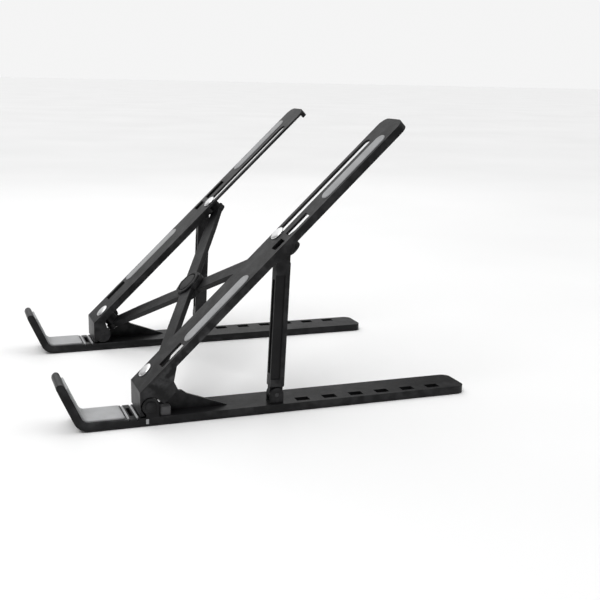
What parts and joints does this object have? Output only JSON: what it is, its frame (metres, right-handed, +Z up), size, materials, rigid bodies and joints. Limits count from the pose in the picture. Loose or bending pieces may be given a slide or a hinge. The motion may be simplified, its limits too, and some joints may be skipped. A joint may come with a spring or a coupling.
{
  "type": "laptop stand",
  "caption": "Folding X-frame laptop stand: hooked base rails, hinged top rails with silicone pads, prop struts in slotted bases and a riveted scissor cross brace",
  "frame": {"origin": "centre of the footprint's bounding box, on the surface that the stand rests on", "axes": "+Z up, +Y away from the user from the hooks to the base's rear ends, +X to the user's right; the left and right sides mirror across X = 0 in outline"},
  "size_m": [0.1808, 0.24, 0.162],
  "materials": {
    "black_plastic": "moulded ABS, fine texture, satin",
    "silicone": "matt grey silicone",
    "rivet_steel": "nickel plated rivet heads",
    "pin_steel": "black oxide steel"
  },
  "bodies": {
    "right_base": {"right_base_rail": "black_plastic", "right_strut_foot": "black_plastic", "right_foot_pin": "pin_steel", "right_hinge_washers": "pin_steel", "right_hook_pad": "silicone", "right_bumper": "silicone", "right_table_feet": "silicone"},
    "right_rail": {"right_top_rail": "black_plastic", "right_hinge_pin": "black_plastic", "right_front_rivet": "rivet_steel", "right_front_pad": "silicone", "right_rear_pad": "silicone"},
    "right_strut": {"right_strut": "black_plastic", "right_head_pin": "pin_steel"},
    "left_base": {"left_base_rail": "black_plastic", "left_strut_foot": "black_plastic", "left_foot_pin": "pin_steel", "left_hinge_washers": "pin_steel", "left_hook_pad": "silicone", "left_bumper": "silicone", "left_table_feet": "silicone"},
    "left_rail": {"left_top_rail": "black_plastic", "left_hinge_pin": "black_plastic", "left_front_rivet": "rivet_steel", "left_front_pad": "silicone", "left_rear_pad": "silicone"},
    "left_strut": {"left_strut": "black_plastic", "left_head_pin": "pin_steel"},
    "upper_arm": {"upper_arm": "black_plastic", "left_slide_rivet": "rivet_steel", "hub_pin": "rivet_steel", "hub_cap": "black_plastic"},
    "lower_arm": {"lower_arm": "black_plastic", "right_slide_rivet": "rivet_steel"}
  },
  "joints": [
    {"name": "right_fold", "type": "hinge", "parent": "right_base", "child": "right_rail", "pos_m": [0.077, -0.0713, 0.011], "axis": [1, 0, 0], "range_deg": [-44, 0]},
    {"name": "right_strut_swing", "type": "hinge", "parent": "right_base", "child": "right_strut", "pos_m": [0.0833, 0.0005, 0.0098], "axis": [1, 0, 0], "range_deg": [-87.85, 0]},
    {"name": "scissor", "type": "hinge", "parent": "right_rail", "child": "upper_arm", "pos_m": [0.071, -0.06589, 0.02123], "axis": [0, -0.6947, 0.7193], "range_deg": [-49.03, 0]},
    {"name": "scissor_hub", "type": "hinge", "parent": "upper_arm", "child": "lower_arm", "pos_m": [0, -0.0258, 0.05494], "axis": [0, -0.6947, 0.7193], "range_deg": [0, 98.06]},
    {"name": "left_pivot", "type": "hinge", "parent": "lower_arm", "child": "left_rail", "pos_m": [-0.071, -0.06339, 0.01864], "axis": [0, -0.6947, 0.7193], "range_deg": [-49.03, 0]},
    {"name": "left_fold", "type": "hinge", "parent": "left_rail", "child": "left_base", "pos_m": [-0.077, -0.0713, 0.011], "axis": [1, 0, 0], "range_deg": [0, 44]},
    {"name": "left_strut_swing", "type": "hinge", "parent": "left_base", "child": "left_strut", "pos_m": [-0.0833, 0.0005, 0.0098], "axis": [1, 0, 0], "range_deg": [-87.85, 0]}
  ],
  "couplings": [
    {"joint": "right_strut_swing", "follows": "right_fold", "ratio": 1.9965},
    {"joint": "scissor_hub", "follows": "scissor", "ratio": -2},
    {"joint": "left_pivot", "follows": "scissor", "ratio": 1},
    {"joint": "left_strut_swing", "follows": "left_fold", "ratio": -1.9965}
  ]
}
